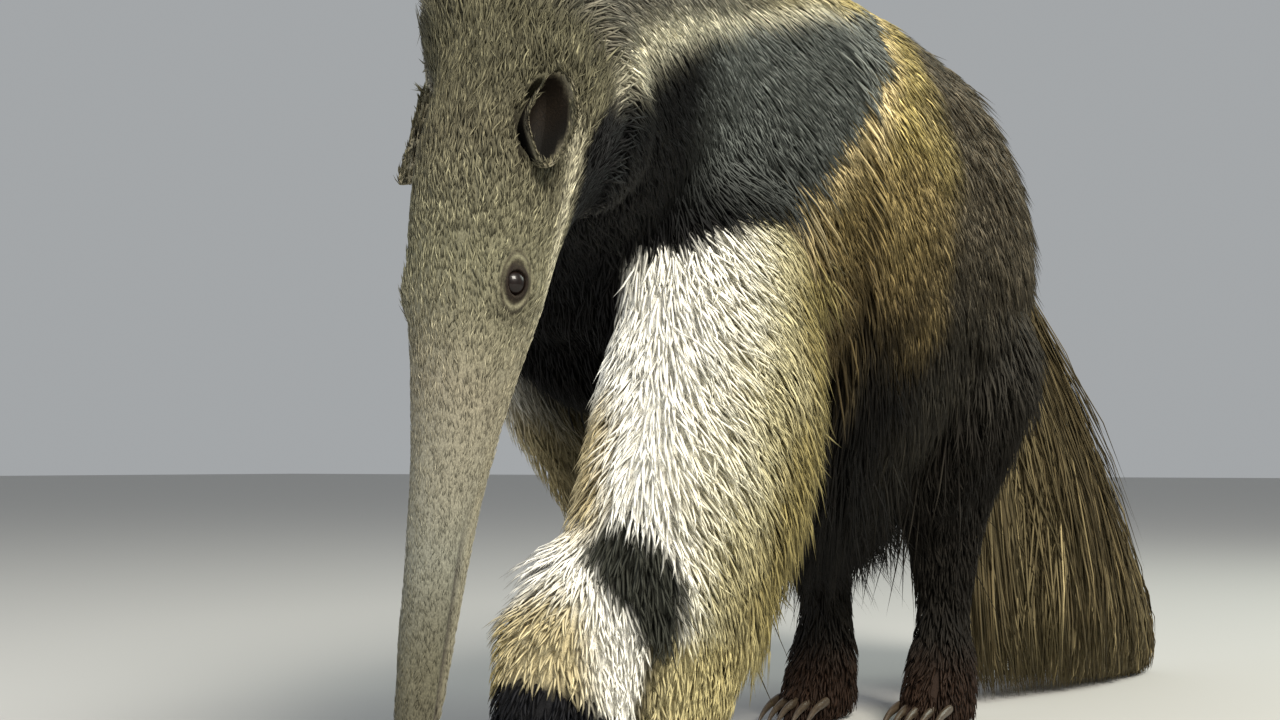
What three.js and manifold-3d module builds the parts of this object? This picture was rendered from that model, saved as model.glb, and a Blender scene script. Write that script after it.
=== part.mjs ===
// Giant anteater, a still life-size model in a walking stance with the head hanging low.
// Units are millimetres. +X is forward, +Y the animal's left, +Z up. The origin is at the middle of
// the bounding box, on the ground. The outer shape of every flesh piece is the tip of the coat.
import * as THREE from "three";
import { mergeVertices } from "three/addons/utils/BufferGeometryUtils.js";
import Module from "manifold-3d";

const wasm = await Module();
wasm.setup();

// Driving dimensions
const HEAD_LENGTH = 375; // back of the skull to the tip of the muzzle
const HEAD_LEAN = 11; // degrees that the hanging head leans forward of plumb
const HEAD_SIDE = 128; // the head hangs this far to the animal's left
const MUZZLE_CLEARANCE = 108; // the tip of the muzzle above the ground
const MUZZLE_REACH = 613; // the tip of the muzzle in front of the trunk's zero
const BACK_HEIGHT = 716; // top of the mane over the shoulders
const BODY_HALF_WIDTH = 170;
const EYE_RADIUS = 8;
const EYE_FROM_TIP = 252;
const EYE_OUT = 34; // the eye's middle from the middle of the head
const EYE_FORWARD = 9;
const EAR_FROM_TIP = 343;
const EAR_OUT = 45;
const EAR_FORWARD = 5;
const EAR_HEIGHT = 56;
const EAR_WIDTH = 34;
const EAR_DEPTH = 13;
const EAR_WALL = 3;
const EAR_TURN = { lean: 6, forward: 20 }; // degrees
const GAP = 0.4; // clearance between neighbouring pieces
const SHEATH = 10; // a leg parts from the trunk this far outside its own shape
const BODY_SIDES = 20;
const LEG_SIDES = 12;
const TAIL_SIDES = 14;
const CLAW_SIDES = 6;
const FRAME_SHIFT = new THREE.Vector3(110, -11.4, 0); // puts the origin under the middle of the box

const LEFT = new THREE.Vector3(0, 1, 0);
const vector = (p) => new THREE.Vector3(...p);
const degrees = (a) => THREE.MathUtils.degToRad(a);

// A closed mesh as a solid.
function solid(geometry) {
  const bare = geometry.index ? geometry.toNonIndexed() : geometry.clone();
  const only = new THREE.BufferGeometry().setAttribute("position", bare.getAttribute("position"));
  const merged = mergeVertices(only, 1e-3);
  return new wasm.Manifold(
    new wasm.Mesh({
      numProp: 3,
      vertProperties: merged.attributes.position.array,
      triVerts: new Uint32Array(merged.index.array),
    }),
  );
}

// Catmull-Rom value between the numbers of a list, at t from 0 to 1.
function smoothValue(list, t) {
  const x = t * (list.length - 1);
  const i = Math.min(Math.floor(x), list.length - 2);
  const f = x - i;
  const [a, b, c, d] = [-1, 0, 1, 2].map((k) => list[Math.min(Math.max(i + k, 0), list.length - 1)]);
  return 0.5 * (2 * b + (c - a) * f + (2 * a - 5 * b + 4 * c - d) * f * f + (3 * b - a - 3 * c + d) * f ** 3);
}

// A point on a ring whose outline is a rounded shape: fuller above 2, narrower below 2.
function rounded(angle, wide, tall, fullness) {
  const c = Math.cos(angle);
  const s = Math.sin(angle);
  const power = 2 / fullness;
  return [wide * Math.sign(c) * Math.abs(c) ** power, tall * Math.sign(s) * Math.abs(s) ** power];
}

// A body length swept through stations. Each has its centre at, and the reach of the coat from it:
// side, top and under. ridge and keel shape the upper and lower halves. Rings stand square to the path,
// or plumb, or level. grow makes a cutter that leaves a gap round the same shape.
function sweep(stations, { sides = BODY_SIDES, rings = 20, grow = 0, stand = "square" } = {}) {
  const path = new THREE.CatmullRomCurve3(stations.map((s) => vector(s.at)), false, "centripetal");
  const values = (key, usual) => stations.map((s) => s[key] ?? usual);
  const lists = {
    side: values("side"),
    top: values("top"),
    under: values("under"),
    ridge: values("ridge", 2),
    keel: values("keel", 2),
  };
  const points = [];
  for (let i = 0; i <= rings; i++) {
    const t = i / rings;
    const centre = path.getPoint(t);
    const along = path.getTangent(t);
    if (stand === "plumb") along.setZ(0).normalize();
    if (stand === "level") along.set(0, 0, -1);
    const left = LEFT.clone().addScaledVector(along, -LEFT.dot(along)).normalize();
    const up = along.clone().cross(left);
    const [side, top, under, ridge, keel] = Object.values(lists).map((list) => smoothValue(list, t));
    for (let k = 0; k < sides; k++) {
      const angle = (k / sides) * 2 * Math.PI;
      const above = Math.sin(angle) >= 0;
      const [y, z] = rounded(angle, side + grow, (above ? top : under) + grow, above ? ridge : keel);
      points.push(centre.clone().addScaledVector(left, y).addScaledVector(up, z));
    }
  }
  return skinned(points, sides, rings);
}

// Rings of points joined into a closed solid with a fan at each end.
function skinned(points, sides, rings) {
  const ends = [0, rings].map((r) => {
    const middle = new THREE.Vector3();
    for (let k = 0; k < sides; k++) middle.add(points[r * sides + k]);
    return middle.divideScalar(sides);
  });
  const vertices = [...points, ...ends];
  const [first, last] = [points.length, points.length + 1];
  const faces = [];
  for (let k = 0; k < sides; k++) {
    const next = (k + 1) % sides;
    faces.push([first, next, k]);
    faces.push([last, rings * sides + k, rings * sides + next]);
    for (let r = 0; r < rings; r++) {
      const [a, b] = [r * sides + k, r * sides + next];
      faces.push([a, b, b + sides], [a, b + sides, a + sides]);
    }
  }
  const geometry = new THREE.BufferGeometry().setFromPoints(vertices);
  geometry.setIndex(faces.flat());
  return solid(geometry);
}

// A ball stretched to its three radii and placed.
function ball(at, radii, turn = [0, 0, 0], [wide, high] = [12, 7]) {
  const geometry = new THREE.SphereGeometry(1, wide, high);
  const turned = new THREE.Quaternion().setFromEuler(new THREE.Euler(...turn.map(degrees)));
  geometry.applyMatrix4(new THREE.Matrix4().compose(vector(at), turned, vector(radii)));
  return solid(geometry);
}

const joined = (solids) => solids.reduce((a, b) => a.add(b));

// The part of a solid on the far side of a plane through at, half a gap away from it.
function beyond(shape, at, normal) {
  const n = vector(normal).normalize();
  return shape.trimByPlane(n.toArray(), n.dot(vector(at)) + GAP / 2);
}
const before = (shape, at, normal) => beyond(shape, at, normal.map((v) => -v));
const grounded = (shape) => shape.trimByPlane([0, 0, 1], 0);

// The largest body of a solid, without the crumbs that a cut leaves.
function whole(shape) {
  return shape.decompose().reduce((a, b) => (a.volume() > b.volume() ? a : b));
}

// Head: its axis runs from the back of the skull down to the tip of the muzzle.
const headAxis = new THREE.Vector3(Math.sin(degrees(HEAD_LEAN)), 0, -Math.cos(degrees(HEAD_LEAN)));
const forehead = headAxis.clone().cross(LEFT);
const muzzleTip = new THREE.Vector3(MUZZLE_REACH, HEAD_SIDE, MUZZLE_CLEARANCE);

// A point of the head: its distance from the muzzle's tip, then towards the forehead and to the left.
function onHead(fromTip, towardsForehead = 0, left = 0) {
  return muzzleTip
    .clone()
    .addScaledVector(headAxis, -fromTip)
    .addScaledVector(forehead, towardsForehead)
    .addScaledVector(LEFT, left)
    .toArray();
}

const headStations = [
  { at: onHead(HEAD_LENGTH + 34, -62), side: 60, top: 74, under: 88 },
  { at: onHead(HEAD_LENGTH, -34), side: 56, top: 68, under: 80 },
  { at: onHead(EAR_FROM_TIP, -10), side: 49, top: 51, under: 70 },
  { at: onHead(295, 0), side: 44, top: 41, under: 56 },
  { at: onHead(EYE_FROM_TIP, 0), side: 41, top: 36, under: 46 },
  { at: onHead(210, 0), side: 33, top: 30, under: 36 },
  { at: onHead(165, 0), side: 26, top: 26, under: 28 },
  { at: onHead(110, 0), side: 21.5, top: 22, under: 22.5 },
  { at: onHead(55, 0), side: 19, top: 19.5, under: 19.5 },
  { at: onHead(14, 0), side: 17.5, top: 17, under: 16 },
  { at: onHead(0, 0), side: 11, top: 10, under: 9 },
];

// Neck and trunk, from the back of the skull to the root of the tail.
const neckStations = [
  { at: [225, 0, 520], side: 128, top: 185, under: 175, ridge: 1.8 },
  { at: [330, 38, 530], side: 110, top: 152, under: 168 },
  { at: [425, 82, 522], side: 86, top: 118, under: 128 },
  { at: [490, 112, 504], side: 66, top: 92, under: 100 },
  { at: onHead(HEAD_LENGTH, -34), side: 54, top: 68, under: 76 },
];
const trunkStations = [
  { at: [-505, 24, 470], side: 50, top: 60, under: 60 },
  { at: [-470, 14, 480], side: 100, top: 112, under: 110 },
  { at: [-410, 4, 485], side: 130, top: 168, under: 150 },
  { at: [-290, 0, 480], side: 160, top: 216, under: 180, ridge: 2.2 },
  { at: [-130, 0, 475], side: BODY_HALF_WIDTH, top: 236, under: 215, ridge: 2.3, keel: 2.2 },
  { at: [40, 0, 475], side: BODY_HALF_WIDTH, top: 242, under: 215, ridge: 2.1, keel: 2.2 },
  { at: [190, 0, 480], side: 150, top: BACK_HEIGHT - 480, under: 190 },
  { at: [290, 8, 490], side: 126, top: 190, under: 170 },
  { at: [370, 20, 470], side: 84, top: 110, under: 120 },
];

// The tail hangs and its long hair falls to the ground, so its rings stay plumb.
const tailStations = [
  { at: [-846, 112, 28], side: 14, top: 20, under: 40 },
  { at: [-814, 110, 60], side: 35, top: 41, under: 74 },
  { at: [-752, 102, 126], side: 54, top: 55, under: 143 },
  { at: [-678, 88, 205], side: 66, top: 65, under: 225 },
  { at: [-604, 70, 290], side: 72, top: 72, under: 310 },
  { at: [-545, 50, 370], side: 72, top: 74, under: 330 },
  { at: [-498, 32, 428], side: 66, top: 70, under: 150 },
  { at: [-450, 12, 470], side: 70, top: 80, under: 90 },
];

// A leg is swept from its root down to the ground. top is the reach of its front, under of its back.
const foreLeftStations = [
  { at: [255, 92, 470], side: 62, top: 74, under: 80 },
  { at: [266, 106, 395], side: 66, top: 90, under: 96 },
  { at: [284, 112, 320], side: 68, top: 92, under: 118 },
  { at: [314, 112, 250], side: 66, top: 88, under: 136 },
  { at: [336, 108, 190], side: 60, top: 74, under: 130 },
  { at: [344, 102, 140], side: 50, top: 56, under: 112 },
  { at: [346, 98, 84], side: 36, top: 40, under: 84 },
];
const foreRightStations = [
  { at: [240, -90, 470], side: 60, top: 70, under: 76 },
  { at: [214, -100, 395], side: 64, top: 84, under: 90 },
  { at: [150, -104, 320], side: 64, top: 82, under: 104 },
  { at: [82, -102, 250], side: 62, top: 76, under: 112 },
  { at: [28, -98, 185], side: 56, top: 64, under: 104 },
  { at: [0, -94, 135], side: 48, top: 52, under: 92 },
  { at: [-8, -92, 84], side: 36, top: 40, under: 76 },
];
// A hand stands on its knuckles in front of the forearm's fringe.
const hand = ({ x, y, side }) => [
  { at: [x - 40, y + side * 6, 215], side: 40, top: 44, under: 40 },
  { at: [x - 18, y, 176], side: 50, top: 62, under: 44 },
  { at: [x - 6, y, 135], side: 50, top: 62, under: 46 },
  { at: [x, y, 84], side: 46, top: 58, under: 50 },
  { at: [x + 4, y, 36], side: 43, top: 54, under: 52 },
  { at: [x + 2, y, -12], side: 34, top: 44, under: 46 },
];
const HAND_LEFT = { x: 402, y: 76, side: 1 };
const HAND_RIGHT = { x: 44, y: -84, side: -1 };
const hindLeg = ({ x, y, side }) => [
  { at: [-292, side * 88, 430], side: 66, top: 112, under: 118 },
  { at: [-286, side * 92, 350], side: 66, top: 108, under: 104 },
  { at: [x + 14, (y + side * 92) / 2, 270], side: 60, top: 84, under: 86 },
  { at: [x - 2, y + side * 6, 190], side: 48, top: 54, under: 62 },
  { at: [x - 12, y, 120], side: 37, top: 38, under: 48 },
  { at: [x - 8, y, 70], side: 35, top: 42, under: 46 },
  { at: [x, y, 34], side: 37, top: 66, under: 58 },
  { at: [x + 4, y, -10], side: 33, top: 78, under: 58 },
];
const FOOT_LEFT = { x: -290, y: 58, side: 1 };
const FOOT_RIGHT = { x: -272, y: -66, side: -1 };

const foreleg = (name, stations, place) => ({
  name,
  place,
  lengths: [stations, hand(place)],
  cuts: [330, 172],
  parts: ["upper_arm", "forearm", "hand"],
});
const hindleg = (name, place) => ({
  name,
  place,
  lengths: [hindLeg(place)],
  cuts: [262, 88],
  parts: ["thigh", "shank", "foot"],
});
const legs = [
  foreleg("foreleg_left", foreLeftStations, HAND_LEFT),
  foreleg("foreleg_right", foreRightStations, HAND_RIGHT),
  hindleg("hindleg_left", FOOT_LEFT),
  hindleg("hindleg_right", FOOT_RIGHT),
];

const limb = ({ lengths }, grow = 0) => {
  const shapes = lengths.map((stations) => sweep(stations, { sides: LEG_SIDES, rings: 9, grow, stand: "level" }));
  return grounded(joined(shapes));
};

const body = joined([
  sweep(trunkStations, { rings: 15 }),
  sweep(neckStations, { rings: 6 }),
  sweep(headStations, { rings: 17 }),
  grounded(sweep(tailStations, { sides: TAIL_SIDES, rings: 12, stand: "plumb" })),
  ...legs.map((leg) => limb(leg)),
]);

// Materials
const material = (color, roughness = 0.9) => new THREE.MeshStandardMaterial({ color, roughness, metalness: 0 });
const COAT = {
  face: material("#8f8878"),
  mane: material("#6d6252"),
  stripe: material("#1e1e20"),
  flank: material("#6f5d43"),
  rump: material("#37322d"),
  foreleg: material("#d9cfb0"),
  hindleg: material("#1f1c1b"),
  tail: material("#4a3f31"),
};
const HORN = material("#4b3f33", 0.5);
const EYE = material("#140d09", 0.1);
const EAR = material("#4a3b2e");

const anteater = new THREE.Group();
anteater.position.copy(FRAME_SHIFT);

function add(name, shape, look) {
  const { vertProperties, triVerts } = shape.getMesh();
  const geometry = new THREE.BufferGeometry();
  geometry.setAttribute("position", new THREE.BufferAttribute(vertProperties, 3));
  geometry.setIndex(new THREE.BufferAttribute(triVerts, 1));
  geometry.computeVertexNormals();
  const mesh = new THREE.Mesh(geometry, look);
  mesh.name = name;
  anteater.add(mesh);
}

// Eyes are whole balls, set so that a cap of each stands in the face.
const eye = (side, radius) => ball(onHead(EYE_FROM_TIP, EYE_FORWARD, side * EYE_OUT), [radius, radius, radius]);

// An ear is a cup that opens outwards and a little forwards.
function ear(side, grow = 0) {
  const at = onHead(EAR_FROM_TIP, EAR_FORWARD, side * EAR_OUT);
  const turn = [side * EAR_TURN.lean, -HEAD_LEAN, -side * EAR_TURN.forward];
  const radii = [EAR_WIDTH / 2, EAR_DEPTH, EAR_HEIGHT / 2];
  const outer = ball(at, radii.map((r) => r + grow), turn);
  if (grow > 0) return outer;
  const opening = new THREE.Vector3(0, side * EAR_DEPTH * 0.55, 0);
  opening.applyEuler(new THREE.Euler(...turn.map(degrees))).add(vector(at));
  return outer.subtract(ball(opening.toArray(), radii.map((r) => r - EAR_WALL), turn));
}

// Claws. Those of a hand fold inwards and back under it, those of a foot point forwards.
function claw(points, root, tip, grow = 0) {
  const stations = points.map((at, i) => {
    const reach = root + ((tip - root) * i) / (points.length - 1);
    return { at, side: reach * 0.8, top: reach, under: reach };
  });
  return sweep(stations, { sides: CLAW_SIDES, rings: 3, grow });
}
const handClaws = ({ x, y, side }) => {
  const inward = (far) => y - side * far;
  return [
    { name: "claw_second", points: [[x + 22, inward(26), 84], [x + 14, inward(54), 74], [x - 16, inward(62), 62], [x - 44, inward(57), 52]], root: 8, tip: 1.6 },
    { name: "claw_long", points: [[x + 24, inward(20), 52], [x + 16, inward(50), 34], [x - 20, inward(62), 24], [x - 58, inward(58), 20]], root: 10, tip: 1.8 },
    { name: "claw_outer", points: [[x + 30, inward(-12), 26], [x + 48, inward(-8), 15], [x + 58, inward(0), 9], [x + 64, inward(8), 7]], root: 6, tip: 1.5 },
  ];
};
const footClaws = ({ x, y, side }) =>
  ["inner", "second", "middle", "fourth", "outer"].map((name, i) => {
    const across = y + side * (i - 2) * 13;
    const out = x - Math.abs(i - 2) * 7;
    return {
      name: `claw_${name}`,
      points: [[out + 50, across, 24], [out + 78, across, 20], [out + 94, across, 12], [out + 102, across, 5]],
      root: 6,
      tip: 1.5,
    };
  });

// Legs part from the trunk inside a sheath a little wider than the leg.
let rest = body;
for (const leg of legs) {
  const limbShape = whole(rest.intersect(limb(leg, SHEATH)));
  rest = whole(rest.subtract(limb(leg, SHEATH + 2 * GAP)));
  const fore = leg.name.startsWith("fore");
  const claws = fore ? handClaws(leg.place) : footClaws(leg.place);
  const hollows = joined(claws.map(({ points, root, tip }) => claw(points, root, tip, GAP)));
  const [upper, lower] = leg.cuts.map((z) => [0, 0, z]);
  const up = [0, 0, 1];
  const lengths = [beyond(limbShape, upper, up), before(beyond(limbShape, lower, up), upper, up)];
  lengths.push(before(limbShape, lower, up).subtract(hollows));
  const look = fore ? COAT.foreleg : COAT.hindleg;
  leg.parts.forEach((part, i) => add(`${part}_${leg.name}`, whole(lengths[i]), look));
  const end = leg.name.replace("foreleg", "hand").replace("hindleg", "foot");
  for (const { name, points, root, tip } of claws) add(`${name}_${end}`, claw(points, root, tip), HORN);
}

// Sockets for the eyes and seats for the ears.
const sockets = [1, -1].flatMap((side) => [eye(side, EYE_RADIUS + GAP), ear(side, GAP)]);
rest = whole(rest.subtract(joined(sockets)));

// The rest parts across its length, from the tail forward.
const crossings = [
  { name: "tail_tip", at: [-742, 0, 0], normal: [1, 0, 0], look: COAT.tail },
  { name: "tail_middle", at: [-600, 0, 0], normal: [1, 0, 0], look: COAT.tail },
  { name: "tail_base", at: [-470, 0, 500], normal: [1, 0, 0.12], look: COAT.tail },
  { name: "rump", at: [-200, 0, 0], normal: [1, 0, 0], look: COAT.rump },
  { name: "belly_and_back", at: [80, 0, 0], normal: [1, 0, 0], look: COAT.flank },
  { name: "chest_and_shoulders", at: [335, 40, 520], normal: [1, 0.25, -0.1], look: COAT.stripe },
  { name: "neck", at: [520, 120, 465], normal: [0.9, 0.3, -0.4], look: COAT.mane },
  { name: "cranium", at: onHead(205), normal: headAxis.toArray(), look: COAT.face },
  { name: "snout", at: onHead(26), normal: headAxis.toArray(), look: COAT.face },
];
for (const { name, at, normal, look } of crossings) {
  add(name, whole(before(rest, at, normal)), look);
  rest = beyond(rest, at, normal);
}
add("muzzle", whole(rest), COAT.face);
for (const [name, side] of [["left", 1], ["right", -1]]) {
  add(`ear_${name}`, ear(side), EAR);
  add(`eye_${name}`, eye(side, EYE_RADIUS), EYE);
}

export default anteater;
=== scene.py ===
# Giant anteater, still and life-size: one skin under a coat of mesh locks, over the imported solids.
# Metres. +X forward, +Y the animal's left, +Z up.
import math
from contextlib import contextmanager

import bmesh
import bpy
import numpy as np
from mathutils import Matrix, Vector, noise
from mathutils.kdtree import KDTree


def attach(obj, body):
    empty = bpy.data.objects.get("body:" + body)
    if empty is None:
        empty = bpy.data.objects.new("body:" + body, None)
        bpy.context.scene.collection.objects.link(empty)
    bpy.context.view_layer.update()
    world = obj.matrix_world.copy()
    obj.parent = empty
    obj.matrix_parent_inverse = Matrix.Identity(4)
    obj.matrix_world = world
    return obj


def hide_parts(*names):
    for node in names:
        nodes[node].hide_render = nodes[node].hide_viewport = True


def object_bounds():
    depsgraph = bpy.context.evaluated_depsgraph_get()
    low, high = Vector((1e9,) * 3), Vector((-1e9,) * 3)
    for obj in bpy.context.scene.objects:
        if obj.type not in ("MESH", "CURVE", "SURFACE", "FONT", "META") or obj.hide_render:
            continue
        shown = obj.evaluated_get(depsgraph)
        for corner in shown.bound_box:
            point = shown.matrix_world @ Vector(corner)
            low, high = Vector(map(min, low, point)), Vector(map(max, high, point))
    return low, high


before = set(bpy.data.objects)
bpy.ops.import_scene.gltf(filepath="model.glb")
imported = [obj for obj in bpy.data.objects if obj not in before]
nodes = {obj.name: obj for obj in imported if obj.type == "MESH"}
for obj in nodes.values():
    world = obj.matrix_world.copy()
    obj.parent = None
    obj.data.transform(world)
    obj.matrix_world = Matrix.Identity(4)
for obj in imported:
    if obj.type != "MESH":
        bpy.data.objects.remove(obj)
solid_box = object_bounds()
rng = np.random.default_rng(11)

# Places measured on the animal are in its own frame, which is moved by this much into the part's.
SHIFT = np.array((0.110, -0.0114, 0.0))
LEFT = np.array((0.0, 1.0, 0.0))
DOWN = np.array((0.0, 0.0, -1.0))
SIDES = {"left": 1, "right": -1}

# Places on the head are how far from the muzzle's tip, towards the forehead and aside.
HEAD_LEAN = math.radians(11)
HEAD_DOWN = np.array((math.sin(HEAD_LEAN), 0, -math.cos(HEAD_LEAN)))
HEAD_FRONT = np.array((math.cos(HEAD_LEAN), 0, math.sin(HEAD_LEAN)))
MUZZLE_TIP = np.array((0.613, 0.128, 0.108)) + SHIFT
HEAD_LENGTH = 0.40
EYE_AT = (0.252, 0.009, 0.034)
EYE_RADIUS = 0.008
EYE_SUNK = 0.0024  # so that the ball doesn't stand out of the head's outline
EAR_AT = (0.343, 0.0085, 0.0430)
EAR_REACH = np.array((0.0114, 0.0145, 0.0270))  # half its width, depth and height
EAR_SKEW = 0.16  # how far its top leans back, over its height
NOSTRIL_AT = (0.0065, 0.0058)  # towards the forehead and aside, as are its half sizes
NOSTRIL_REACH = (0.0032, 0.0019)

REGIONS = ["head", "neck", "chest", "flank", "rump", "tail"]
REGIONS += [f"{limb}_{hand}" for limb in ("arm", "hand", "thigh", "foot") for hand in SIDES]
# How deep the skin lies under the solids, which reach to the tips of the coat.
SKIN_DEPTH = dict(head=0.0025, neck=0.006, chest=0.011, flank=0.024, rump=0.022, tail=0.012)
SKIN_DEPTH |= dict(arm=0.015, hand=0.008, thigh=0.016, foot=0.005)
WRIST_FILL = 0.009  # how much shallower it lies on the front of the wrist


# ---------------------------------------------------------------- small tools
def smooth(x, low, high):
    """0 below low, 1 above high, and a soft step between."""
    t = np.clip((x - low) / (high - low), 0, 1)
    return t * t * (3 - 2 * t)


def bell(x, middle, width):
    """1 at the middle, and falling softly to 0 on both sides."""
    return np.exp(-(((x - middle) / width) ** 2))


def unit(v):
    return v / np.maximum(np.linalg.norm(v, axis=-1, keepdims=True), 1e-9)


def mix(a, b, t):
    return a + (b - a) * t[..., None]


def linear(hexcode):
    """An sRGB hex colour as linear numbers."""
    c = np.array([int(hexcode[i : i + 2], 16) for i in (1, 3, 5)]) / 255
    return np.where(c <= 0.04045, c / 12.92, ((c + 0.055) / 1.055) ** 2.4)


def on_head(from_tip, front=0.0, left=0.0):
    return MUZZLE_TIP - HEAD_DOWN * from_tip + HEAD_FRONT * front + LEFT * left


def head_place(p):
    """How far from the muzzle's tip, towards the forehead and to the left each point is."""
    q = p - MUZZLE_TIP
    return -(q @ HEAD_DOWN), q @ HEAD_FRONT, q @ LEFT


def corners(mesh):
    out = np.empty(len(mesh.vertices) * 3, np.float32)
    mesh.vertices.foreach_get("co", out)
    return out.reshape(-1, 3).astype(float)


def normals(mesh):
    out = np.empty(len(mesh.vertices) * 3, np.float32)
    mesh.vertex_normals.foreach_get("vector", out)
    return out.reshape(-1, 3).astype(float)


def triangles(mesh):
    """The corners of each triangle of a mesh."""
    mesh.calc_loop_triangles()
    out = np.empty(len(mesh.loop_triangles) * 3, np.int32)
    mesh.loop_triangles.foreach_get("vertices", out)
    return out.reshape(-1, 3)


def areas(places, tri):
    a, b, c = places[tri].transpose(1, 0, 2)
    return np.linalg.norm(np.cross(b - a, c - a), axis=1) / 2


def in_triangles(count):
    """Random places in triangles, as the shares of the second and the third corner."""
    u, v = rng.random((2, count))
    return np.where(u + v > 1, 1 - u, u), np.where(u + v > 1, 1 - v, v)


def move_corners(mesh, places):
    mesh.vertices.foreach_set("co", places.astype(np.float32).ravel())
    mesh.update()


def edge_ends(mesh):
    out = np.empty(len(mesh.edges) * 2, np.int32)
    mesh.edges.foreach_get("vertices", out)
    return out.reshape(-1, 2)


def spread(values, ends, rounds):
    """Values at the corners of a mesh, evened out along its edges."""
    count = np.bincount(ends.ravel(), minlength=len(values)).clip(1)[:, None]
    for _ in range(rounds):
        total = np.zeros_like(values)
        for k in range(values.shape[1]):
            total[:, k] = np.bincount(ends[:, 0], values[ends[:, 1], k], len(values))
            total[:, k] += np.bincount(ends[:, 1], values[ends[:, 0], k], len(values))
        values = 0.5 * values + 0.5 * total / count
    return values


def shade_smooth(mesh):
    mesh.polygons.foreach_set("use_smooth", np.ones(len(mesh.polygons), bool))


@contextmanager
def edited(mesh):
    """A mesh opened for edits, which go back into it."""
    shape = bmesh.new()
    shape.from_mesh(mesh)
    yield shape
    shape.to_mesh(mesh)
    shape.free()


def reshaped(mesh, *modifiers):
    """A mesh put through modifiers, which stay applied."""
    holder = bpy.data.objects.new("holder", mesh)
    bpy.context.scene.collection.objects.link(holder)
    for kind, settings in modifiers:
        step = holder.modifiers.new(kind.lower(), kind)
        for key, value in settings.items():
            setattr(step, key, value)
    bpy.context.view_layer.update()
    made = bpy.data.meshes.new_from_object(holder.evaluated_get(bpy.context.evaluated_depsgraph_get()))
    bpy.data.objects.remove(holder)
    return made


def remeshed(mesh, voxel, factor, rounds):
    """One even mesh round all that the mesh holds, then smoothed."""
    grid = dict(mode="VOXEL", adaptivity=0.0, use_smooth_shade=True, voxel_size=voxel)
    return reshaped(mesh, ("REMESH", grid), ("SMOOTH", dict(factor=factor, iterations=rounds)))


def shown(name, mesh, material, node_names=()):
    """A finished piece: it rides on the body and stands for the named solids."""
    piece = bpy.data.objects.new(name, mesh)
    bpy.context.scene.collection.objects.link(piece)
    mesh.materials.clear()
    mesh.materials.append(material)
    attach(piece, "root")
    if node_names:
        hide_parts(*node_names)


# ---------------------------------------------------------------- regions of the body
AREA_PER_SAMPLE = 0.00008
FEWEST_SAMPLES, MOST_SAMPLES = 40, 200000  # on one solid, and on all of them


def region_of(node):
    """The region that a solid belongs to."""
    limbs = dict(upper_arm="arm", forearm="arm", hand="hand", thigh="thigh", shank="thigh", foot="foot")
    for start, region in limbs.items():
        if node.startswith(start):
            return region + ("_left" if node.endswith("left") else "_right")
    trunk = dict(neck="neck", chest_and_shoulders="chest", belly_and_back="flank", rump="rump")
    return trunk.get(node, "tail" if node.startswith("tail") else "head")


flesh = [n for n in nodes if not n.startswith(("claw", "eye"))]
finder = KDTree(MOST_SAMPLES)
finder_regions = []
for name in flesh:
    places, tri = corners(nodes[name].data), triangles(nodes[name].data)
    area = areas(places, tri)
    count = max(int(area.sum() / AREA_PER_SAMPLE), FEWEST_SAMPLES)
    a, b, c = places[tri[rng.choice(len(area), count, p=area / area.sum())]].transpose(1, 0, 2)
    u, v = in_triangles(count)
    for p in a + (b - a) * u[:, None] + (c - a) * v[:, None]:
        finder.insert(p, len(finder_regions))
        finder_regions.append(REGIONS.index(region_of(name)))
finder.balance()
finder_regions = np.array(finder_regions)


def region_weights(mesh, rounds):
    """How much each corner belongs to each region, which blend into each other."""
    nearest = [finder.find(p)[1] for p in corners(mesh)]
    weights = np.eye(len(REGIONS))[finder_regions[nearest]]
    return spread(weights, edge_ends(mesh), rounds)


# ---------------------------------------------------------------- the skin
ROUGH_VOXEL = 0.007
SKIN_VOXEL = 0.0068
HEAD_EDGE = 0.0036  # edges shorter than this are on the head, where the mesh is finer
# The tail's slim fleshy core, which is all that the skin has of it: places and radii. The rest is hair.
TAIL_CORE = np.array(
    [
        (-0.420, 0.008, 0.478, 0.092),
        (-0.462, 0.016, 0.462, 0.072),
        (-0.510, 0.036, 0.425, 0.047),
        (-0.560, 0.056, 0.372, 0.032),
        (-0.625, 0.074, 0.292, 0.024),
        (-0.700, 0.090, 0.205, 0.018),
        (-0.765, 0.102, 0.128, 0.012),
        (-0.806, 0.108, 0.078, 0.007),
    ]
)
# Heights, and how far forward the middle line of the left foreleg's outer face is there.
RIDGE = ((0.10, 0.215, 0.272, 0.418), (0.405, 0.402, 0.388, 0.333))
# How far ahead of the left foreleg's the wrist and the elbow stand, at these heights.
LEG_HEIGHTS = (0.15, 0.43)
LEG_AHEAD = {"left": (0.0, 0.0), "right": (-0.358, -0.02)}


def along_core(t):
    """Place and radius along the tail's core, from its root at 0 to its tip at 1."""
    at = t * (len(TAIL_CORE) - 1)
    out = np.stack([np.interp(at, range(len(TAIL_CORE)), TAIL_CORE[:, k]) for k in range(4)], -1)
    return out[..., :3] + SHIFT, out[..., 3]


def fore_ridge(z, hand):
    """How far forward the middle line of a foreleg's outer face is at heights z."""
    return np.interp(z, *RIDGE) + np.interp(z, LEG_HEIGHTS, LEG_AHEAD[hand])


def wrist_front(q, hand):
    """How much places are on the front and inner face of the wrist, where the hair stands out most."""
    x, y, z = q.T
    ahead = smooth(0.53 * (x - fore_ridge(z, hand)) + 0.85 * (0.085 - SIDES[hand] * y), -0.010, 0.015)
    return ahead * smooth(z, 0.19, 0.23) * (1 - smooth(z, 0.31, 0.38))


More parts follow.
